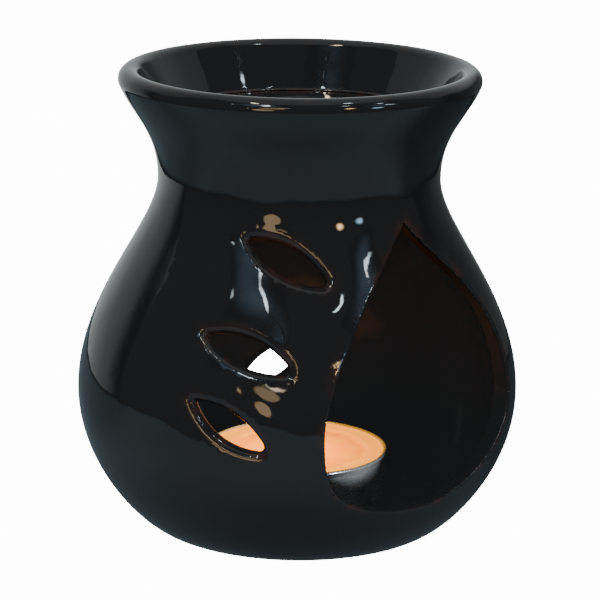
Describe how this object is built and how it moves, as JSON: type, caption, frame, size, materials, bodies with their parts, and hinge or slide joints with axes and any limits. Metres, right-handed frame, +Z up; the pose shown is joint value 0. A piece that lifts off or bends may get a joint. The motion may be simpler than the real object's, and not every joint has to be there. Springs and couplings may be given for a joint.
{
  "type": "essential oil burner",
  "caption": "Rounded ceramic oil burner with a flared rim, an oil dish in its neck, a teardrop doorway, leaf shaped holes and a tealight that draws out through the doorway.",
  "frame": {"origin": "centre of the flat foot, on the surface that the burner stands on", "axes": "+Z up along the pot's turning axis; the teardrop doorway faces -Y; +X is to the right of someone who faces the doorway"},
  "size_m": [0.091, 0.0869, 0.0951],
  "materials": {
    "black_glaze": "gloss",
    "dish_glaze": "gloss",
    "cup_aluminium": "satin",
    "candle_wax": "satin wax",
    "wick_cotton": "braided cotton, charred at the tip",
    "tinned_steel": "tinned"
  },
  "bodies": {
    "pot": {"burner_pot": "black_glaze", "oil_dish": "dish_glaze"},
    "tealight": {"tealight_cup": "cup_aluminium", "tealight_wax": "candle_wax", "tealight_wick": "wick_cotton", "wick_sustainer": "tinned_steel"}
  },
  "joints": [
    {"name": "tealight_out", "type": "slide", "parent": "pot", "child": "tealight", "axis": [0, -0.829, 0.5592], "range_m": [0, 0.08]}
  ]
}
